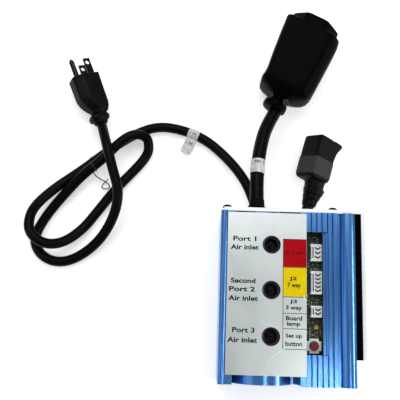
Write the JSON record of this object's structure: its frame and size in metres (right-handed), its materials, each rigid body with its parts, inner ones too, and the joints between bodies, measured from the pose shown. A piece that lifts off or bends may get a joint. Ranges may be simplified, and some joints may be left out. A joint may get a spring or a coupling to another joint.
{
  "type": "jetted bath control box",
  "caption": "Blue extruded control box with round air ports, a window onto a circuit board, a silver end bracket and leads to a mains plug and sockets.",
  "frame": {"origin": "centre of the housing's flat back", "axes": "+X to the right of the printed label, +Y along the housing towards the bracket and the leads, +Z out of the label"},
  "size_m": [0.2917, 0.3286, 0.0555],
  "materials": {
    "anodised_blue": "blue anodised, satin",
    "anodised_silver": "clear anodised, satin",
    "steel": "zinc plated",
    "faceplate": "printed film on a plastic plate, slightly glossy",
    "pad": "matte",
    "bushing": "moulded nylon",
    "cord": "smooth, slightly glossy",
    "connector": "moulded, fine grain",
    "nickel": "nickel plated",
    "brass": "plain",
    "tag": "printed film",
    "tie": "coated wire",
    "circuit_board": "solder mask over glass fibre",
    "header": "moulded nylon",
    "switch_black": "moulded",
    "button_maroon": "moulded",
    "lamp": "clear moulded",
    "membrane": "matte",
    "rod": "moulded",
    "lamination": "varnished",
    "relay_case": "moulded",
    "fuse_glass": "clear",
    "terminal_green": "moulded"
  },
  "bodies": {
    "housing": {"extrusion": "anodised_blue", "bottom_cap": "anodised_blue", "cap_screws": "steel", "faceplate": "faceplate", "end_bracket": "anodised_silver", "side_pad": "pad", "plate_screws": "steel", "power_bushing": "bushing", "outlet_bushing": "bushing", "light_bushing": "bushing", "earth_lug": "brass", "earth_screw": "steel", "power_cord": "cord", "plug_body": "connector", "plug_blades": "nickel", "plug_ground_pin": "nickel", "flag_tag": "tag", "twist_tie": "tie", "outlet_cord": "cord", "sleeve_label": "tag", "outlet_housing": "connector", "outlet_face": "connector", "outlet_contacts": "brass", "outlet_clamp_screws": "steel", "light_socket": "connector", "light_contacts": "brass", "control_board": "circuit_board", "display_header": "header", "light_header": "header", "sensor_header": "header", "header_pins": "nickel", "config_switch": "switch_black", "power_led": "lamp", "power_board": "circuit_board", "board_standoffs": "brass", "board_screws": "steel", "transformer": "lamination", "relay_1": "relay_case", "relay_2": "relay_case", "relay_3": "relay_case", "fuse": "fuse_glass", "fuse_clips": "nickel", "terminal_block": "terminal_green", "air_cap_1": "switch_black", "air_base_1": "switch_black", "diaphragm_1": "membrane", "microswitch_1": "switch_black", "air_cap_2": "switch_black", "air_base_2": "switch_black", "diaphragm_2": "membrane", "microswitch_2": "switch_black", "air_cap_3": "switch_black", "air_base_3": "switch_black", "diaphragm_3": "membrane", "microswitch_3": "switch_black"},
    "config_button": {"config_button": "button_maroon"},
    "plunger_1": {"plunger_1": "rod"},
    "plunger_2": {"plunger_2": "rod"},
    "plunger_3": {"plunger_3": "rod"}
  },
  "joints": [
    {"name": "config_button_press", "type": "slide", "parent": "housing", "child": "config_button", "axis": [0, 0, -1], "range_m": [0, 0.0005], "stiffness_N_per_m": 2000},
    {"name": "air_plunger_1", "type": "slide", "parent": "housing", "child": "plunger_1", "axis": [0, 0, -1], "range_m": [0, 0.0012], "stiffness_N_per_m": 400},
    {"name": "air_plunger_2", "type": "slide", "parent": "housing", "child": "plunger_2", "axis": [0, 0, -1], "range_m": [0, 0.0012], "stiffness_N_per_m": 400},
    {"name": "air_plunger_3", "type": "slide", "parent": "housing", "child": "plunger_3", "axis": [0, 0, -1], "range_m": [0, 0.0012], "stiffness_N_per_m": 400}
  ]
}
